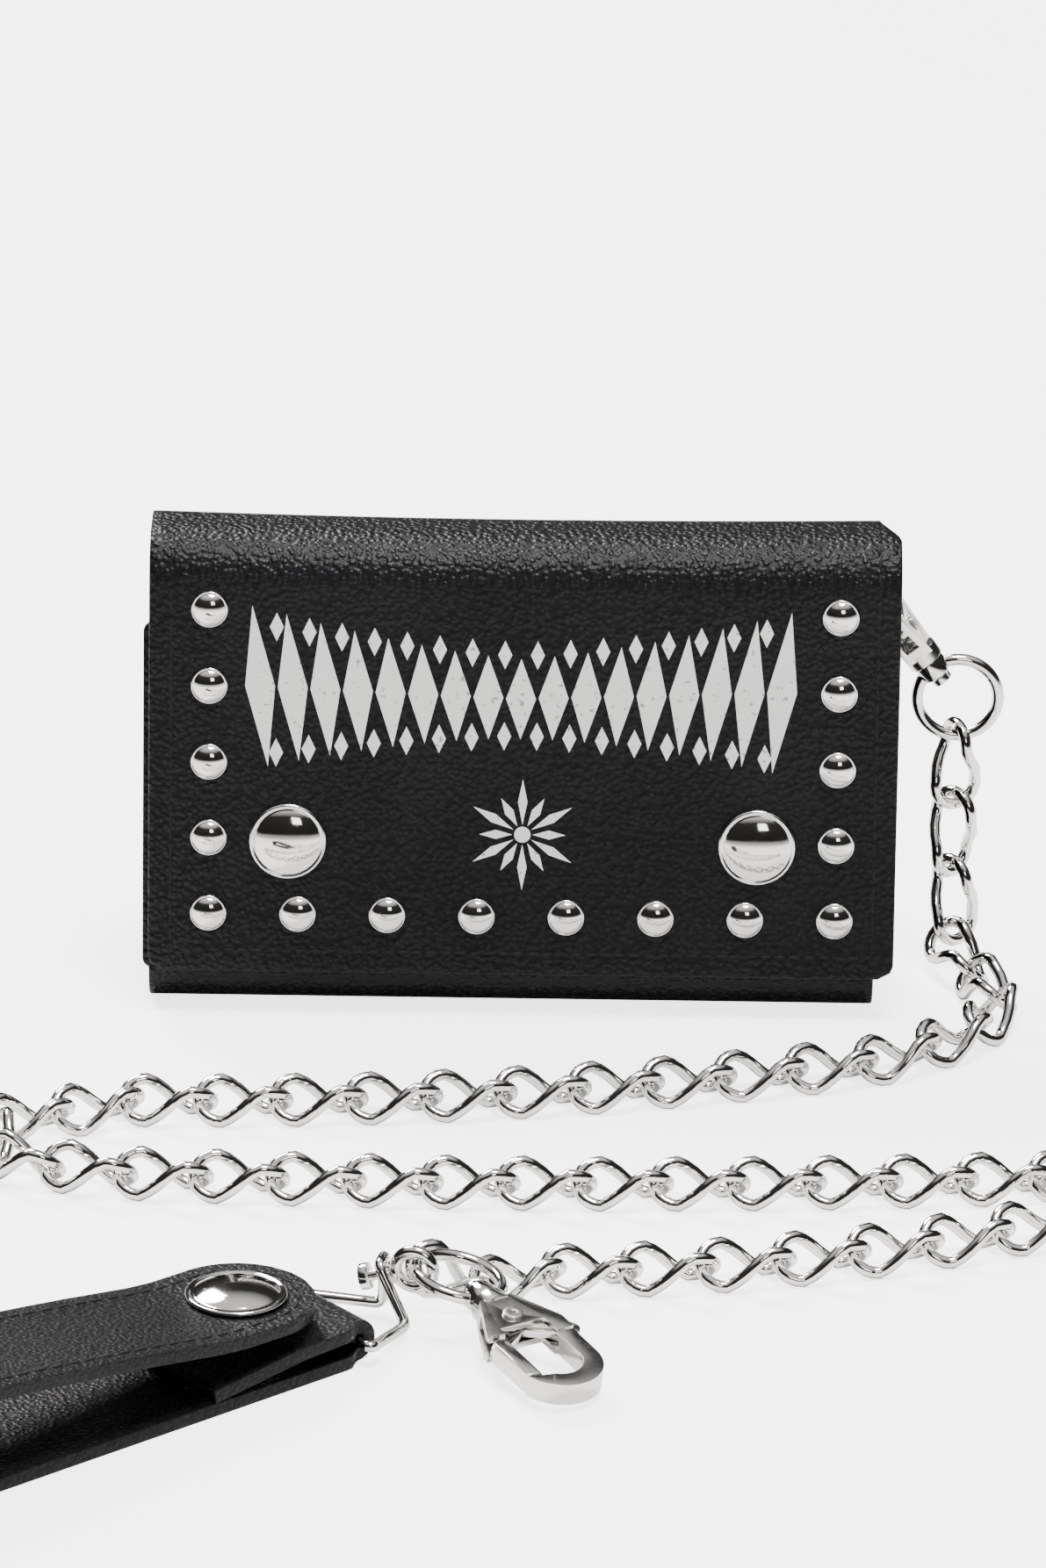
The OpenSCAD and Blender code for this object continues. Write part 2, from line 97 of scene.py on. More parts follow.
# %% Camera
camera = bpy.data.objects.new("camera", bpy.data.cameras.new("camera"))
bpy.context.scene.collection.objects.link(camera)
camera.data.sensor_fit = "HORIZONTAL"
camera.data.sensor_width = 36
camera.data.lens = 303
camera.data.clip_end = 20
elevation, reach, aim = math.radians(22), 1.4, Vector((0, 0, 0.0332))
tilt = math.radians(0.8)
camera.matrix_world = (
    Matrix.Translation(aim + reach * Vector((0, -math.cos(elevation), math.sin(elevation))))
    @ Matrix.Rotation(math.pi / 2 - elevation, 4, "X") @ Matrix.Rotation(tilt, 4, "Z"))
bpy.context.scene.camera = camera
print("camera at", [round(v, 3) for v in camera.matrix_world.translation])

# %% [markdown]
# Shader maths reads best as ordinary Python, so a socket is wrapped in a small class
# whose operators add the Math nodes. Every other node comes from one method.

# %% A socket that can be calculated with
class Value:
    def __init__(self, tree, socket):
        self.tree, self.socket = tree, socket

    def maths(self, operation, *others):
        return Finish.make(self.tree, "ShaderNodeMath", {"operation": operation},
                           {i: o for i, o in enumerate((self,) + others)})

    def __add__(self, o): return self.maths("ADD", o)
    def __mul__(self, o): return self.maths("MULTIPLY", o)
    def __sub__(self, o): return self.maths("SUBTRACT", o)
    def __rsub__(self, o): return (self * -1) + o
    __radd__, __rmul__ = __add__, __mul__

    def between(self, low, high):
        return Finish.make(self.tree, "ShaderNodeMapRange", {"interpolation_type": "SMOOTHSTEP"},
                           {"Value": self, "From Min": low, "From Max": high})


class Finish:
    """One material: a Principled shader and the nodes that feed it."""
    def __init__(self, name, **sockets):
        self.material = bpy.data.materials.new(name)
        self.material.use_nodes = True
        self.tree = self.material.node_tree
        self.shader = self.tree.nodes["Principled BSDF"]
        for key, value in sockets.items():
            self.shader.inputs[key.replace("_", " ")].default_value = value
        self.place = self.node("ShaderNodeTexCoord", out="Object")

    @staticmethod
    def make(tree, kind, settings=None, sockets=None, out=0):
        made = tree.nodes.new(kind)
        for key, value in (settings or {}).items():
            if key == "stops":
                ramp = made.color_ramp
                for i, (at, colour) in enumerate(value):
                    stop = ramp.elements[i] if i < 2 else ramp.elements.new(at)
                    stop.position, stop.color = at, (*colour, 1)
            else:
                setattr(made, key, value)
        for key, value in (sockets or {}).items():
            if isinstance(value, Value):
                tree.links.new(value.socket, made.inputs[key])
            else:
                made.inputs[key].default_value = value
        return Value(tree, made.outputs[out])

    def node(self, kind, settings=None, sockets=None, out=0):
        return Finish.make(self.tree, kind, settings, sockets, out)

    def feed(self, name, value):
        self.tree.links.new(value.socket, self.shader.inputs[name])
        return self

    def noise(self, scale, detail=2, **more):
        return self.node("ShaderNodeTexNoise", {},
                         {"Vector": self.place, "Scale": scale, "Detail": detail, **more})

    def cells(self, scale, feature="F1", **more):
        return self.node("ShaderNodeTexVoronoi", {"feature": feature},
                         {"Vector": self.place, "Scale": scale, **more}, "Distance")

    def blend(self, factor, low, high):
        return self.node("ShaderNodeMix", {"data_type": "RGBA"},
                         {"Factor": factor, 6: (*low, 1), 7: (*high, 1)}, 2)

    def bump(self, height, strength, depth):
        return self.feed("Normal", self.node("ShaderNodeBump", {}, {
            "Height": height, "Strength": strength, "Distance": depth}))


print("shader helpers ready")

# %% Floor and light
bm = bmesh.new()
bmesh.ops.create_grid(bm, x_segments=1, y_segments=1, size=3)
floor_mesh = bpy.data.meshes.new("floor")
bm.to_mesh(floor_mesh)
bm.free()
floor = bpy.data.objects.new("floor", floor_mesh)
bpy.context.scene.collection.objects.link(floor)
floor_look = Finish("floor_paper", Roughness=0.7, Emission_Strength=3.0)
seen_straight = floor_look.node("ShaderNodeLightPath", out="Is Camera Ray")
floor_look.feed("Emission Color", floor_look.blend(seen_straight, (0, 0, 0), (1, 1, 1)))
floor_look.feed("Base Color", floor_look.blend(floor_look.noise(3), (0.90,) * 3, (0.93,) * 3))
floor_mesh.materials.append(floor_look.material)


def lamp(name, place, target, size, power, colour=(1, 1, 1), kind="AREA"):
    """A soft lamp that looks at a target: a square one, or a far window as a wide sun."""
    light = bpy.data.lights.new(name, kind)
    light.energy, light.color = power, colour
    if kind == "SUN":
        light.angle = size
    else:
        light.shape, light.size = "SQUARE", size
    made = bpy.data.objects.new(name, light)
    turn = (Vector(target) - Vector(place)).to_track_quat("-Z", "Y").to_matrix().to_4x4()
    made.matrix_world = Matrix.Translation(place) @ turn
    bpy.context.scene.collection.objects.link(made)


warm = (1, 0.985, 0.96)
lamp("window_light", (-0.45, 0.75, 0.95), (0, -0.05, 0), 0.40, 2.1, warm, "SUN")
lamp("key_lamp", (-0.45, 0.75, 0.85), (0, -0.05, 0), 0.40, 14, warm)
lamp("top_lamp", (0.12, -0.22, 1.25), (0, -0.08, 0), 0.42, 24)
lamp("front_lamp", (0.35, -1.5, 0.9), (0, -0.05, 0.02), 0.45, 2.5)
world = bpy.data.worlds.new("studio")
bpy.context.scene.world = world
world.use_nodes = True
sky = world.node_tree
aim_at = Finish.make(sky, "ShaderNodeTexCoord", out="Generated")
height = Finish.make(sky, "ShaderNodeSeparateXYZ", {}, {0: aim_at}, "Z")
glow = Finish.make(sky, "ShaderNodeValToRGB", {"stops": [
    (at, (grey,) * 3) for at, grey in ((0.0, 0.9), (0.10, 0.02), (0.62, 0.04), (0.86, 0.9))]},
    {"Fac": height})
seen = Finish.make(sky, "ShaderNodeLightPath", out="Is Camera Ray")
colour = Finish.make(sky, "ShaderNodeMix", {"data_type": "RGBA"}, {
    "Factor": seen, 6: glow, 7: (0.97, 0.97, 0.97, 1)}, 2)
surround = sky.nodes["Background"]
sky.links.new(colour.socket, surround.inputs["Color"])
surround.inputs["Strength"].default_value = 0.85
print("floor, four lamps and a surround")

# %% [markdown]
# ## Finishes
# The outer leather is black with a pebbled grain a little under a millimetre across:
# cells give the pebbles, fine noise breaks them up, and broader noise varies the sheen
# where hands have polished it. The linings are smoother, the cloth is woven,
# and the metal is nickel with faint smears in its polish.

# %% Leathers
def leather(name, pebble, depth, sheen, worn=(0.011, 0.011, 0.012)):
    """Black hide with a grain of a given size and depth in metres."""
    dark = (0.0025, 0.0025, 0.003)
    look = Finish(name, Specular_IOR_Level=0.17)
    grain = look.cells(1 / pebble, "SMOOTH_F1", Smoothness=0.6, Randomness=0.95)
    fine = look.noise(2.6 / pebble, 3)
    handled = look.noise(45, 3).between(0.35, 0.75)
    crest = 1 - grain.between(0.15, 0.75)
    look.feed("Base Color", look.blend(crest * 0.55 + handled * 0.3, dark, worn))
    look.feed("Roughness", sheen + 0.12 * fine - 0.10 * crest - 0.05 * handled)
    look.bump(crest + fine * 0.5, 0.75, depth)
    return look.material


pebbled = leather("leather_pebbled", 0.00085, 0.00020, 0.36)
strap_hide = leather("leather_strap", 0.00070, 0.00010, 0.40)
smooth_hide = leather("leather_smooth", 0.0005, 0.00004, 0.46, worn=(0.010, 0.010, 0.011))

cloth_look = Finish("lining_cloth", Roughness=0.85)
warp, weft = (cloth_look.node("ShaderNodeTexWave", {"bands_direction": way}, {
    "Vector": cloth_look.place, "Scale": 520.0, "Distortion": 0.4}, "Fac") for way in "XZ")
weave = warp * weft
cloth_look.feed("Base Color", cloth_look.blend(weave, (0.012, 0.012, 0.014), (0.045, 0.045, 0.05)))
cloth_look.bump(weave, 0.5, 0.0001)
cloth = cloth_look.material

thread_look = Finish("thread_black", Roughness=0.7, Specular_IOR_Level=0.15)
strands = thread_look.noise(2600, 1)
thread_look.feed("Base Color", thread_look.blend(
    strands, (0.005, 0.005, 0.006), (0.022, 0.022, 0.023)))
thread_look.bump(strands, 0.4, 0.00005)
thread = thread_look.material
print("leathers:", pebbled.name, strap_hide.name, smooth_hide.name)


# %% Metals, vinyl and print
def nickel(name, colour, rough, smear):
    look = Finish(name, Metallic=1.0)
    cloudy = look.noise(260, 4)
    scuffs = look.noise(1500, 2).between(0.62, 0.74)
    look.feed("Base Color", look.blend(cloudy, tuple(c * 0.93 for c in colour), colour))
    look.feed("Roughness", rough + cloudy * smear + scuffs * 0.08)
    look.bump(cloudy, 0.12, 0.00004)
    return look.material


bright = nickel("nickel_bright", (0.90, 0.885, 0.85), 0.035, 0.08)
cast = nickel("nickel_cast", (0.84, 0.82, 0.78), 0.09, 0.14)
plain_steel = nickel("snap_steel", (0.66, 0.65, 0.63), 0.22, 0.16)

vinyl_look = Finish("window_vinyl", Base_Color=(0.75, 0.8, 0.84, 1), Alpha=0.3)
vinyl_look.feed("Roughness", 0.08 + vinyl_look.noise(60, 2) * 0.14)
vinyl = vinyl_look.material

print_look = Finish("print_white", Specular_IOR_Level=0.4)
rubbed = print_look.noise(900, 4).between(0.60, 0.72)
print_look.feed("Base Color", print_look.blend(rubbed, (0.86, 0.86, 0.84), (0.30,) * 3))
print_look.feed("Roughness", 0.42 + rubbed * 0.3)
print_look.bump(print_look.cells(1300), 0.35, 0.00008)
print_white = print_look.material
print("metals, vinyl and print ready")

# %% [markdown]
# ## Helpers for making pieces
# A piece starts as a bmesh and ends as an object at the origin that rides on a body.
# Leather is a flat grid rolled along a side view, then thickened and given a small
# bevel, the way a cut hide has rounded edges. Cast pieces are copies of the frame's
# solids whose sharp edges are rounded.

# %% Finishing a piece
def add_piece(name, mesh, body, material, stands_for=(), smooth=True):
    """Puts a mesh in the scene, riding on a body."""
    made = bpy.data.objects.new(name, mesh)
    bpy.context.scene.collection.objects.link(made)
    mesh.materials.clear()
    mesh.materials.append(material)
    if smooth:
        mesh.shade_smooth()
    if body:
        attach(made, body)
    if stands_for:
        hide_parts(*stands_for)
    return made


def from_bmesh(name, bm):
    mesh = bpy.data.meshes.new(name)
    bm.to_mesh(mesh)
    bm.free()
    return mesh


def settled(made):
    """Turns a piece's modifiers into plain mesh."""
    bpy.context.view_layer.update()
    seen = made.evaluated_get(bpy.context.evaluated_depsgraph_get())
    mesh = bpy.data.meshes.new_from_object(seen)
    made.modifiers.clear()
    made.data = mesh


def rounded(made, width, segments=2, angle=30):
    """Adds a small bevel to every edge sharper than the angle."""
    bevel = made.modifiers.new("edges", "BEVEL")
    bevel.width, bevel.segments, bevel.angle_limit = width, segments, math.radians(angle)
    bevel.limit_method = "ANGLE"
    bevel.harden_normals = False


def walk(path, step):
    """Points at equal spacing along a polyline of vectors, with the total length."""
    lengths = [0.0]
    for a, b in zip(path, path[1:]):
        lengths.append(lengths[-1] + (b - a).length)
    count = max(1, round(lengths[-1] / step))
    out, k = [], 0
    for i in range(count + 1):
        want = lengths[-1] * i / count
        while k < len(path) - 2 and lengths[k + 1] < want:
            k += 1
        span = lengths[k + 1] - lengths[k]
        out.append(path[k].lerp(path[k + 1], (want - lengths[k]) / span if span else 0))
    return out, lengths[-1]


def arc(centre, radius, start, stop, steps):
    """Points of an arc in a flat side view, angles in degrees."""
    angles = [math.radians(start + (stop - start) * i / steps) for i in range(steps + 1)]
    return [Vector((centre[0] + radius * math.cos(a), centre[1] + radius * math.sin(a)))
            for a in angles]


def rolled_sheet(name, path, across, columns, place):
    """A grid whose rows follow path; across(row, point) gives that row's two ends."""
    bm = bmesh.new()
    bmesh.ops.create_grid(bm, x_segments=columns, y_segments=len(path) - 1, size=0.5)
    for vert in bm.verts:
        row = round((vert.co.y + 0.5) * (len(path) - 1))
        low, high = across(row, path[row])
        vert.co = place(low + (high - low) * (vert.co.x + 0.5), path[row])
    bmesh.ops.recalc_face_normals(bm, faces=bm.faces)
    return from_bmesh(name, bm)


def thickened(made, thickness):
    """Gives a sheet its thickness on the side away from its outer face."""
    shell = made.modifiers.new("thickness", "SOLIDIFY")
    shell.thickness, shell.offset = thickness, -1
    shell.use_even_offset = True


def softened(node, material, width, finish, segments=2, angle=30):
    """A copy of a frame solid with rounded edges, standing for that solid."""
    bm = bmesh.new()
    bm.from_mesh(frame["nodes"][node].data)
    bmesh.ops.remove_doubles(bm, verts=bm.verts, dist=0.00002)
    bmesh.ops.dissolve_limit(bm, angle_limit=math.radians(1.5), verts=bm.verts, edges=bm.edges)
    sharp = [e for e in bm.edges
             if len(e.link_faces) == 2 and e.calc_face_angle(0) > math.radians(angle)]
    bmesh.ops.bevel(bm, geom=sharp, offset=width, segments=segments, profile=0.5,
                    affect="EDGES", material=-1, clamp_overlap=True)
    bmesh.ops.triangulate(bm, faces=bm.faces)
    body = body_of(frame["nodes"][node])[0]
    made = add_piece("soft_" + node, from_bmesh("soft_" + node, bm), body,
                     material, (node,), smooth=False)
    made.data.shade_smooth()
    made.data.set_sharp_from_angle(angle=math.radians(50))


print("helpers ready")

# %% [markdown]
# ## The leather shell
# One hide makes the wallet's back, its flat top, the rounded crown and the flap. Here it
# is drawn as one side view and cut into two lengths that meet high on the back. The
# first bends between the bodies of the back and the flap, so the crown stays closed when
# the flap opens, and the second stays with the back. The back is a little narrower on
# the side of the chain, so the width changes over the crown.

# %% The shell's side view
half_width, hide_thickness, corner = 59 * mm, 1.4 * mm, 2.5 * mm
lean = math.radians(8)
edge = Vector((-16.8, 7.3)) * mm
up_face = Vector((math.sin(lean), math.cos(lean)))
side = [Vector((-14, 7)) * mm]
side += [p * mm for p in arc((-8, 6), 6, 180, 270, 10)]
side += [p * mm for p in arc((3, 6), 6, 270, 360, 10)]
side += [Vector((9, 30)) * mm, Vector((9, 52)) * mm]
side += [p * mm for p in arc((5.5, 73), 3.5, 0, 90, 8)]
side += [p * mm for p in arc((0.3, 68), 8.5, 90, 172, 16)]
side += [edge]
shell_path, shell_length = walk(side, 1.1 * mm)
print("hide length", round(shell_length * 1000), "mm")


def shell_ends(row, point):
    """Left and right end of the hide at a place in its side view."""
    y, z = point
    right = 56 * mm
    if z > 60 * mm and y < 7 * mm:
        right += 3 * mm * min(1, max(0, (5.5 * mm - y) / (7 * mm)))
    on_flap = row > len(shell_path) // 2
    if y < -8 * mm and on_flap:
        right = half_width
    up = (point - edge).length
    trim = 0
    if on_flap and up < corner:
        trim = corner - math.sqrt(max(0, corner ** 2 - (corner - up) ** 2))
    return -half_width + trim, right - trim


def shell_point(x, point):
    """The crown sags a little in the middle, as soft hide does."""
    y, z = point
    sag = 0.7 * mm * max(0, 1 - (x / (58 * mm)) ** 2) * max(0, min(1, (z - 66 * mm) / (9 * mm)))
    return Vector((x, y, z - sag))


# %% The hide, in two lengths that meet high on the back
def outwards(made, axis):
    """Turns a sheet's faces outwards, judged by its furthest face along an axis."""
    bm = bmesh.new()
    bm.from_mesh(made.data)
    furthest = max(bm.faces, key=lambda f: f.calc_center_median()[axis])
    if furthest.normal[axis] < 0:
        bmesh.ops.reverse_faces(bm, faces=bm.faces)
    bm.to_mesh(made.data)
    bm.free()


def crown_bend(made):
    """Bends a piece over the crown, from the back's body to the flap's."""
    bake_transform(made, "back", "flap", (0, 4.5 * mm, 76.5 * mm), (0, -6 * mm, 74 * mm))


def hide_length(name, first, rows, node, axis):
    """One length of the hide, as thick leather whose outer face looks along the axis."""
    mesh = rolled_sheet(name, rows, lambda row, point: shell_ends(row + first, point),
                        64, shell_point)
    hide = add_piece(name, mesh, None, pebbled, (node,))
    outwards(hide, axis)
    thickened(hide, hide_thickness)
    rounded(hide, 0.3 * mm, 2, 50)
    settled(hide)
    hide.data.shade_smooth()
    print(name, "faces", len(hide.data.polygons))
    return hide


join = max(i for i, p in enumerate(shell_path) if p.x > 8.9 * mm and p.y < 71 * mm)
crown_bend(hide_length("hide_flap", join, shell_path[join:], "flap_leather", 2))
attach(hide_length("hide_back", 0, shell_path[:join + 1], "back_leather", 1), "back")

# %% [markdown]
# ## Stitches
# The flap is sewn with black thread a few millimetres in from its edge. Each stitch is
# a small capsule that dips into the hide at both ends. All of them are one mesh.


# %% Stitch rows
def stitch_row(bm, points, normals, length, width):
    """A capsule at each point, laid along the row and pressed into the hide."""
    for i, (point, normal) in enumerate(zip(points, normals)):
        ahead = points[min(i + 1, len(points) - 1)] - points[max(i - 1, 0)]
        along = ahead.normalized()
        cross = normal.cross(along).normalized()
        turn = Matrix((along, cross, normal)).transposed().to_4x4()
        ball = bmesh.ops.create_uvsphere(bm, u_segments=8, v_segments=6, radius=0.5)
        for vert in ball["verts"]:
            vert.co = Vector((vert.co.x * length, vert.co.y * width, vert.co.z * width * 0.8))
        bmesh.ops.transform(bm, matrix=Matrix.Translation(point) @ turn, verts=ball["verts"])


def on_face(x, up, out=0.0):
    """A place on the flap's face: across, up from its lower edge, and out of it."""
    flat = edge + up_face * up
    return Vector((x, flat.x - math.cos(lean) * out, flat.y + math.sin(lean) * out))


face_normal = Vector((0, -math.cos(lean), math.sin(lean)))
inset, stitch_step, stitch_size = 3.5 * mm, 2.3 * mm, (1.9 * mm, 0.55 * mm)
row_x = half_width - inset
outline = [on_face(-row_x, 61 * mm), on_face(-row_x, inset),
           on_face(row_x, inset), on_face(row_x, 62.5 * mm)]
spots, _ = walk(outline, stitch_step)
normals = [face_normal] * len(spots)
over = [Vector((55.5 * mm, p.x * mm, p.y * mm)) for p in arc((0.3, 68), 8.5, 172, 90, 12)]
over += [Vector((55.3 * mm, 3 * mm, 76.5 * mm))]
crown_spots, _ = walk(over, stitch_step)
crown_normals = [Vector((0, p.y - 0.3 * mm, p.z - 68 * mm)).normalized() if p.y < 0.3 * mm
                 else Vector((0, 0, 1)) for p in crown_spots]
bm = bmesh.new()
stitch_row(bm, spots, normals, *stitch_size)
stitch_row(bm, crown_spots[1:], crown_normals[1:], *stitch_size)
crown_bend(add_piece("flap_stitches", from_bmesh("flap_stitches", bm), None, thread))
print("stitches on the flap:", len(spots) + len(crown_spots))

# %% [markdown]
# ## Domes and caps
# A dome stud is pressed from thin sheet: a flat bright rim and a low crown inside it.
# Spinning its half section about its axis gives exactly that.


# %% Turned pieces
def turned(bm, section, place, steps=40):
    """Spins a half section (radius, height) about Z and puts it at a place."""
    verts = [bm.verts.new((r, 0, h)) for r, h in section]
    edges = [bm.edges.new(pair) for pair in zip(verts, verts[1:])]
    bmesh.ops.spin(bm, geom=verts + edges, cent=(0, 0, 0), axis=(0, 0, 1),
                   angle=math.tau, steps=steps, use_merge=True)
    # tagged points belong to the pieces turned before this one
    fresh = [v for v in bm.verts if not v.tag]
    bmesh.ops.remove_doubles(bm, verts=fresh, dist=1e-7)
    fresh = [v for v in bm.verts if not v.tag]
    bmesh.ops.transform(bm, matrix=place, verts=fresh)
    for vert in fresh:
        vert.tag = True


def dome_section(radius, rim, height):
    """Half section of a pressed dome: base, rim roll, groove and crown."""
    inner, groove, cap = radius * 0.88, rim * 0.8, math.radians(62)
    top = [(inner * math.sin(a) / math.sin(cap),
            groove + (height - groove) * (math.cos(a) - math.cos(cap)) / (1 - math.cos(cap)))
           for a in [cap * (1 - k / 10) for k in range(10)]]
    roll = [(radius * 0.94 + radius * 0.06 * math.cos(a), rim * 0.6 + rim * 0.4 * math.sin(a))
            for a in [math.radians(-60 + 24 * k) for k in range(9)]]
    return [(radius * 0.94, 0)] + roll + top + [(0, height)]


out_of_face = face_normal.to_track_quat("Z", "Y").to_matrix().to_4x4()


def domes(name, places, section, body, stands_for):
    bm = bmesh.new()
    for place in places:
        turned(bm, section, Matrix.Translation(place) @ out_of_face, 32)
    bmesh.ops.recalc_face_normals(bm, faces=bm.faces)
    return add_piece(name, from_bmesh(name, bm), body, bright, (stands_for,))


stud = dome_section(2.9 * mm, 0.5 * mm, 1.4 * mm)
for name, sign in (("left", -1), ("right", 1)):
    domes("studs_" + name, [on_face(sign * 49.5 * mm, (9.6 + 12.3 * i) * mm) for i in range(1, 5)],
          stud, "flap", "dome_studs_" + name)
    domes("cap_" + name, [on_face(sign * 37 * mm, 21.5 * mm)],
          dome_section(6.1 * mm, 0.8 * mm, 2.0 * mm), "flap", "snap_cap_" + name)
domes("studs_bottom", [on_face((-49.5 + 99 / 7 * i) * mm, 9.6 * mm) for i in range(8)],
      stud, "flap", "dome_studs_bottom")
print("studs and caps placed")

# %% [markdown]
# ## The ornament on the flap
# A white pattern is printed across the flap. It is an ornament of plain shapes: tall
# slim lozenges that grow towards both ends, with a small many-pointed star in the
# middle below them. Each is a flat face a hair above the hide.


# %% Printed shapes
def shape(bm, segments, radius, spot):
    """A flat shape whose corners go where spot(u, v) says: across and up the flap."""
    made = bmesh.ops.create_circle(bm, cap_ends=True, segments=segments, radius=radius)
    for vert in made["verts"]:
        vert.co = on_face(*spot(vert.co.x, vert.co.y), print_height)


def lozenge(bm, x, up, wide, tall, slant=0.0):
    shape(bm, 4, 0.5, lambda u, v: (x + u * wide + v * tall * slant, up + v * tall))


bm = bmesh.new()
count, print_height, star_up = 17, 0.06 * mm, 23 * mm
for i in range(count):
    t = i / (count - 1) * 2 - 1
    tall = (13 + 13 * abs(t) ** 1.5) * mm
    lozenge(bm, (-0.5 + 41 * t) * mm, (45 + 1.5 * abs(t)) * mm, 4.7 * mm, tall, 0.10 * t)
for i in range(count - 1):
    t = (i + 0.5) / (count - 1) * 2 - 1
    for up in (39 - 3.5 * abs(t) ** 1.5, 52 + 4.5 * abs(t) ** 1.5):
        lozenge(bm, (-0.5 + 41 * t) * mm, up * mm, 2.2 * mm, 4.6 * mm)
for k in range(12):
    turn = Matrix.Rotation(math.tau * k / 12, 2)
    long = (7.4 if k % 2 == 0 else 5.2) * mm
    shape(bm, 4, 0.5, lambda u, v: Vector((0, star_up)) + turn @ Vector(
        (u * 1.5 * mm, (v + 0.5) * long + 1.6 * mm)))
shape(bm, 24, 1.3 * mm, lambda u, v: (u, star_up + v))
for face in bm.faces:
    face.normal_update()
    if face.normal.y > 0:
        face.normal_flip()
ornament = add_piece("flap_ornament", from_bmesh("flap_ornament", bm), "flap", print_white,
                     smooth=False)
print("ornament faces", len(ornament.data.polygons))

# %% [markdown]
# ## Chain
# A curb link is a loop of round wire whose two ends are twisted out of flat, opposite
# ways. One loop is swept as a closed curve and copied to each place. The places are the
# same as the frame's solids, so the links pass through each other cleanly.


# %% One link, and where the links are
def wire_mesh(name, points, thick, corners=6):
    """A closed loop of round wire along smooth points."""
    curve = bpy.data.curves.new(name, "CURVE")
    curve.dimensions, curve.bevel_depth, curve.bevel_resolution = "3D", thick / 2, corners // 2
    line = curve.splines.new("POLY")
    line.points.add(len(points) - 1)
    for spot, point in zip(line.points, points):
        spot.co = (*point, 1)
    line.use_cyclic_u = True
    holder = bpy.data.objects.new(name, curve)
    bpy.context.scene.collection.objects.link(holder)
    bpy.context.view_layer.update()
    swept = holder.evaluated_get(bpy.context.evaluated_depsgraph_get())
    mesh = bpy.data.meshes.new_from_object(swept)
    bpy.data.objects.remove(holder)
    return mesh


end_r, end_x, twist, wire, tautness = 3.55 * mm, 3.35 * mm, math.radians(45), 1.9 * mm, 0.55
flat = []
for s in (-1, 1):
    for k in range(11):
        a = math.radians(90 + 180 * k / 10 if s < 0 else -90 + 180 * k / 10)
        flat.append(Vector((s * end_x + end_r * math.cos(a), end_r * math.sin(a), 0)))
    flat += [Vector((s * end_x * (1 - t), s * end_r, 0)) for t in (0.4, 0.8, 1.2, 1.6)]
loop = []
for p in flat:
    share = max(-1, min(1, p.x / end_x))
    bowed = Matrix.Rotation(-twist * math.sin(math.pi / 2 * share), 3, "X") @ p
    side_y = math.copysign(end_r, p.y)
    taut = Vector((p.x, side_y * math.cos(twist), -share * side_y * math.sin(twist)))
    loop.append(bowed.lerp(taut, tautness) if abs(share) < 1 else bowed)
link_mesh = wire_mesh("link", loop, wire)
print("faces in a link", len(link_mesh.polygons))


def placed(at, head, climb, roll):
    """A place from its point and its heading, climb and roll in degrees."""
    return (Matrix.Translation(Vector(at) * mm)
            @ Matrix.Rotation(math.radians(head), 4, "Z")
            @ Matrix.Rotation(-math.radians(climb), 4, "Y")
            @ Matrix.Rotation(math.radians(roll), 4, "X"))


def straight_run(start, head, turn, count):
    """Places of links that lie flat, each heading a little further round than the last."""
    pitch = 11.6
    out, point = [], Vector(start)
    for i in range(count):
        a = math.radians(head + turn * i)
        step = Vector((math.cos(a), math.sin(a), 0))
        out.append((point + pitch / 2 * step, head + turn * i, 0, 0))
        point = point + pitch * step
    return out


# %% The runs of chain
runs = {
    "chain_drop": ("chain_a", [
        ((69.1, 7.9, 34.6), 16.1, -89.8, -53.6), ((69, 7.8, 22.9), 10.9, -91.3, -80.9),
        ((69.5, 6.9, 11.5), -25.8, -83.2, -110.4), ((70, 0.9, 4.6), -63.3, -14.3, 3.4),
        ((74.1, -9.8, 3.7), -68.9, -1.1, 4.7)]),
    "chain_run_back": ("chain_b", [
        ((74.4, -20.7, 3.7), -108.6, -4.4, 1), ((68.3, -30.2, 3.7), -134.3, -1.2, 0.2),
        ((59.2, -37.3, 3.6), -149.8, -3.4, 2.2)]
        + straight_run((54.2, -40.2, 3.46), -162.5, -1.85, 10)
        + [((-64.8, -61.1, 3.5), -153.6, 0, 0), ((-75.3, -65.8, 3.7), -154.5, 0.5, -1.5)]),
    "chain_turn_left": ("chain_left", [((-80.6, -73.6, 3.6), -91.5, 2.3, -1)]),
    "chain_run_middle": ("chain_c", [
        ((-75.7, -81.3, 3.5), -24.4, 0, 0), ((-64.9, -84.5, 3.5), -13.3, 0, 0)]
        + straight_run((-59.4, -85.6, 3.46), -3.5, 0.85, 12)
        + [((84.6, -81.9, 3.6), 17, -0.9, 3.9)]),
    "chain_turn_right": ("chain_right", [((91.5, -85.5, 3.7), -70.2, -6.5, 5.5)]),
    "chain_run_front": ("chain_d", [
        ((87.8, -94.1, 3.9), -144, -3.6, 7.7), ((77.9, -100, 3.7), -154.4, -1.9, -1.5)]
        + straight_run((72.6, -102.4, 3.46), -158, -3.4, 6)
        + [((0.2, -121, 3.5), -155.1, -0.7, 0.3), ((-9.3, -123.3, 4.7), -170, 23.7, -15.3)]),
}
for node, (body, places) in runs.items():
    bm = bmesh.new()
    for place in places:
        before = set(bm.verts)
        bm.from_mesh(link_mesh)
        fresh = [v for v in bm.verts if v not in before]
        bmesh.ops.transform(bm, matrix=placed(*place), verts=fresh)
    bmesh.ops.recalc_face_normals(bm, faces=bm.faces)
    add_piece("links_" + node, from_bmesh("links_" + node, bm), body, bright,
              (node,))
print("links:", sum(len(places) for _, places in runs.values()))

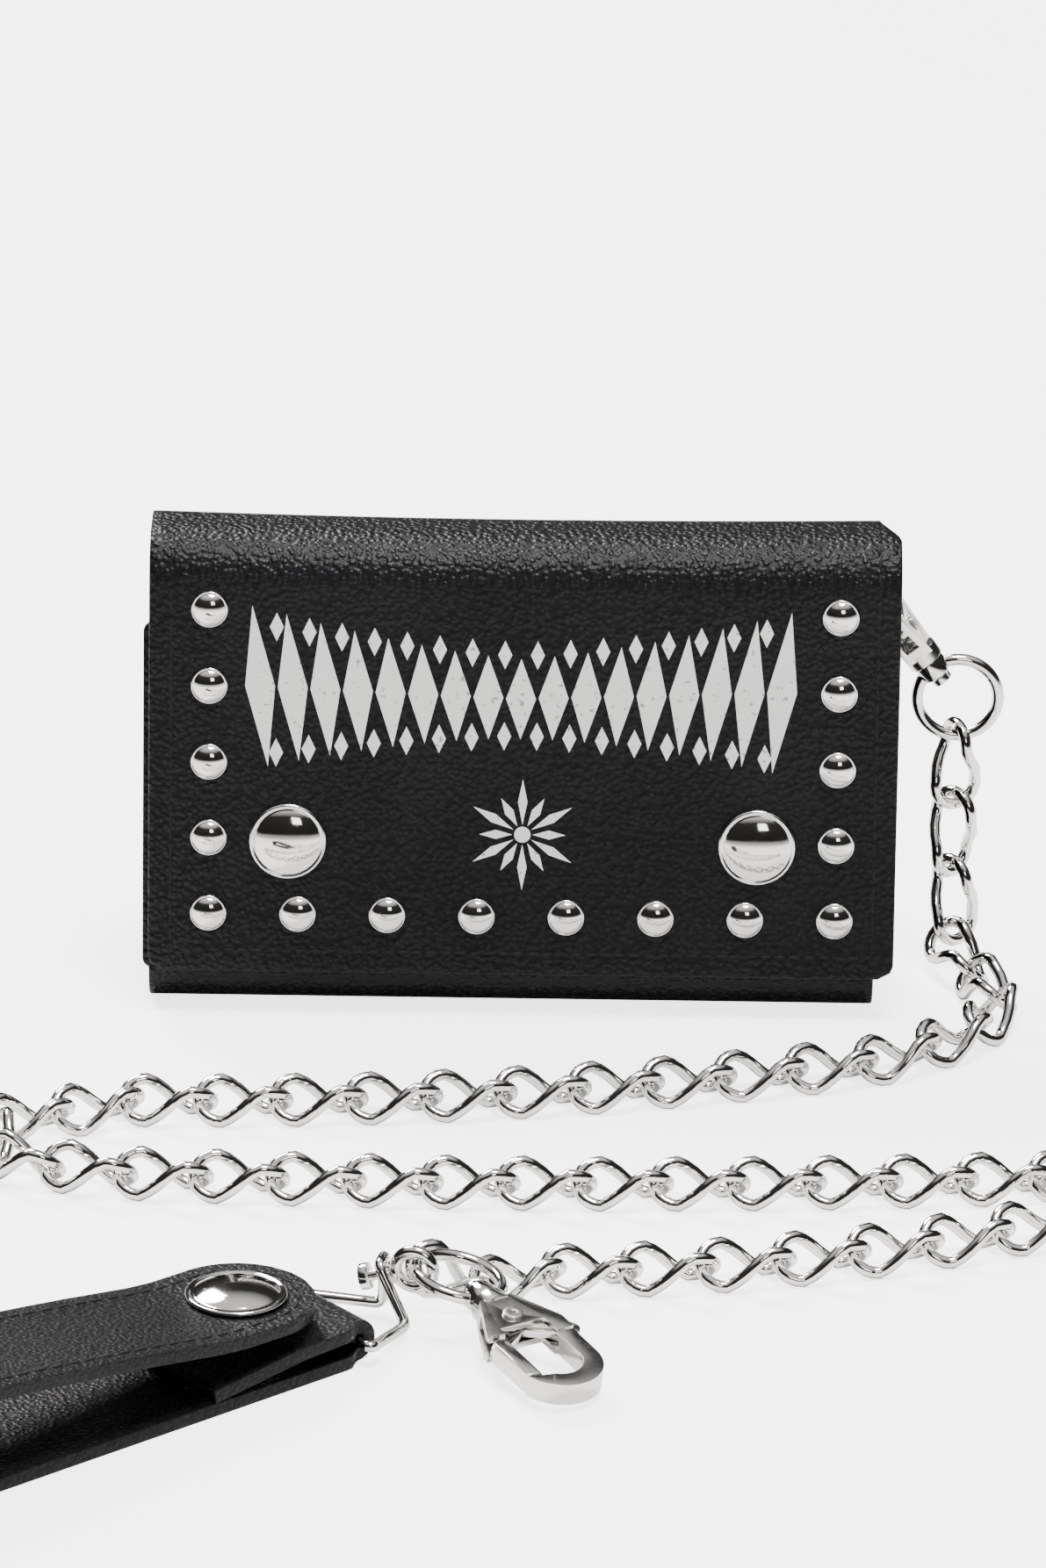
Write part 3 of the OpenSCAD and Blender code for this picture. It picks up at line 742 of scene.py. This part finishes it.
# %% [markdown]
# ## Clip hooks, rings and the belt frame
# The hooks are die cast and polished, so every edge is rounded over. The rings and the
# belt frame are bent from round wire, and the frame's corners follow the bender's
# radius instead of a sharp mitre.

# %% Hooks, rings and posts
for letter in "ab":
    softened(f"hook_{letter}_body", cast, 0.55 * mm, "nickel_cast", 3)
    softened(f"hook_{letter}_gate", cast, 0.3 * mm, "nickel_cast", 2)
    softened(f"hook_{letter}_pin", plain_steel, 0.12 * mm, "snap_steel", 2)
    softened(f"ring_{letter}", bright, 0.25 * mm, "nickel_bright", 2, 40)
softened("eyelet", bright, 0.22 * mm, "nickel_bright", 3)
softened("belt_swivel", bright, 0.2 * mm, "nickel_bright", 2, 40)

corners = [(-20.9, -145, 3.2), (-16, -134, 1.7), (-20.1, -131.1, 9.9),
           (-19.3, -127.1, 9.9), (-19.6, -126.6, 1.7), (-37.6, -125.3, 3.2)]
corners = [Vector(c) * mm for c in corners]
bend_start, bent = 1.3 * mm, []
for i, tip in enumerate(corners):
    ways = [other - tip for other in (corners[i - 1], corners[(i + 1) % len(corners)])]
    first, last = [tip + way.normalized() * min(bend_start, way.length * 0.4) for way in ways]
    for t in [k / 6 for k in range(7)]:
        bent.append(first * (1 - t) ** 2 + tip * 2 * t * (1 - t) + last * t * t)
add_piece("belt_wire", wire_mesh("belt_wire", bent, 1.7 * mm, 8), "belt_frame", bright,
          ("belt_ring",))
print("belt frame bends:", len(corners))

# %% [markdown]
# ## The belt strap
# One strip of leather makes the whole strap: it laps round the belt frame's bar, lies
# on the floor, folds up at the far end and comes back over itself to the snap. Like
# the shell, it is rolled along its side view and bends where its two bodies meet.

# %% The strap's side view
strap_turn = placed((-29, -135, 0), 220.3, 0, 0)
line = [Vector((28, 4)), Vector((20, 5)), Vector((12, 6)), Vector((4, 6.35))]
line += arc((0.3, 3.2), 3.2, 90, 270, 14)
line += [Vector((20, 0)), Vector((60, 0))]
fold = (83.5, 8.5)
line += arc(fold, fold[1], -90, 90, 26)
line += [Vector(p) for p in (
    (78, 16.9), (72, 16.7), (65, 16.2), (58, 15.5), (46, 14.1), (38, 13.1), (31, 12.1),
    (26, 11.4), (22, 11.05), (17, 11), (10, 11), (3.6, 11))]
strap_path, strap_length = walk([p * mm for p in line], 1.0 * mm)
half_strap, snap_x, strap_top_z = 11.5 * mm, 15 * mm, 11 * mm
print("strap length", round(strap_length * 1000), "mm")


def strap_ends(row, point):
    """The strap's two sides: a round end at the snap, and a neck at the belt frame's bar."""
    half = half_strap
    if row > len(strap_path) // 2:
        if point.x < snap_x:
            half = math.sqrt(max((0.3 * mm) ** 2, half ** 2 - (snap_x - point.x) ** 2))
        return -half, half
    neck = max(0, min(1, (2.6 * mm - point.x) / (2 * mm)))
    return -half + 3.4 * mm * neck, half - 1.6 * mm * neck


def strap_point(across, point):
    return strap_turn @ Vector((point.x, across, point.y))


strap_mesh = rolled_sheet("strap_hide", strap_path, strap_ends, 24, strap_point)
strap = add_piece("strap_hide", strap_mesh, None, strap_hide,
                  ("strap_base", "strap_top"))
outwards(strap, 2)
thickened(strap, 2 * mm)
rounded(strap, 0.5 * mm, 3, 50)
settled(strap)
strap.data.shade_smooth()
slope = Vector((-0.081, 0, 1)).normalized()
middle = Vector((0, 0, 7.7)) * mm
strap_from = strap_turn @ (middle - slope * mm)
strap_to = strap_turn @ (middle + slope * mm)
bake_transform(strap, "strap", "strap_upper", strap_from, strap_to)

# %% Stitches along the strap
row_y = half_strap - 2.4 * mm
upper_line = [p for p in strap_path[len(strap_path) // 2:] if p.y > 8.5 * mm and p.x > snap_x]
right_row, left_row = [[strap_turn @ Vector((p.x, side_of * row_y, p.y)) for p in upper_line]
                       for side_of in (1, -1)]
round_end = [strap_turn @ Vector((snap_x - row_y * math.sin(a), row_y * math.cos(a), strap_top_z))
             for a in [math.pi * k / 16 for k in range(1, 16)]]
spots, _ = walk(right_row + round_end + left_row[::-1], 3.0 * mm)


def strap_normal(spot):
    """Out of the strap's upper face: round the fold, then along its gentle slope."""
    local = strap_turn.inverted() @ spot
    if local.x > fold[0] * mm:
        out = Vector((local.x - fold[0] * mm, 0, local.z - fold[1] * mm))
    else:
        out = Vector((-0.07 if local.x > 22 * mm else 0, 0, 1))
    return strap_turn.to_3x3() @ out.normalized()


bm = bmesh.new()
stitch_row(bm, spots, [strap_normal(spot) for spot in spots], 2.3 * mm, 0.6 * mm)
strap_seam = add_piece("strap_stitches", from_bmesh("strap_stitches", bm), None, thread)
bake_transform(strap_seam, "strap", "strap_upper", strap_from, strap_to)

# %% The strap's cap
bm = bmesh.new()
cap_place = strap_turn @ Matrix.Translation((snap_x, 0, strap_top_z))
turned(bm, dome_section(7.5 * mm, 0.9 * mm, 2.2 * mm), cap_place, 48)
bmesh.ops.recalc_face_normals(bm, faces=bm.faces)
add_piece("strap_cap_dome", from_bmesh("strap_cap_dome", bm), "strap_upper", bright,
          ("strap_cap",))
print("strap finished")

# %% [markdown]
# ## The pieces that keep their frame shape
# Linings, card pockets, the inner panel and the snaps' hidden halves have the right
# shape already. They are given small bevels where they show and their own finish.

# %% Finishes for the rest
for node in ("panel_leather", "card_base", "card_pocket_low", "card_pocket_mid", "card_pocket_high",
             "gusset_left", "gusset_right", "id_frame"):
    softened(node, pebbled if node == "panel_leather" else smooth_hide, 0.2 * mm,
             "leather_outer" if node == "panel_leather" else "leather_inner")
rest = {
    cloth: ("back_lining", "bill_divider", "flap_lining", "panel_lining"),
    vinyl: ("id_window",),
    plain_steel: ("eyelet_washer", "snap_socket_left", "snap_socket_right", "snap_stud_left",
                  "snap_stud_right", "hook_a_spring", "hook_b_spring", "strap_socket",
                  "strap_stud")}
for material, nodes in rest.items():
    for node in nodes:
        mesh = frame["nodes"][node].data
        mesh.materials.clear()
        mesh.materials.append(material)
print("all pieces dressed")
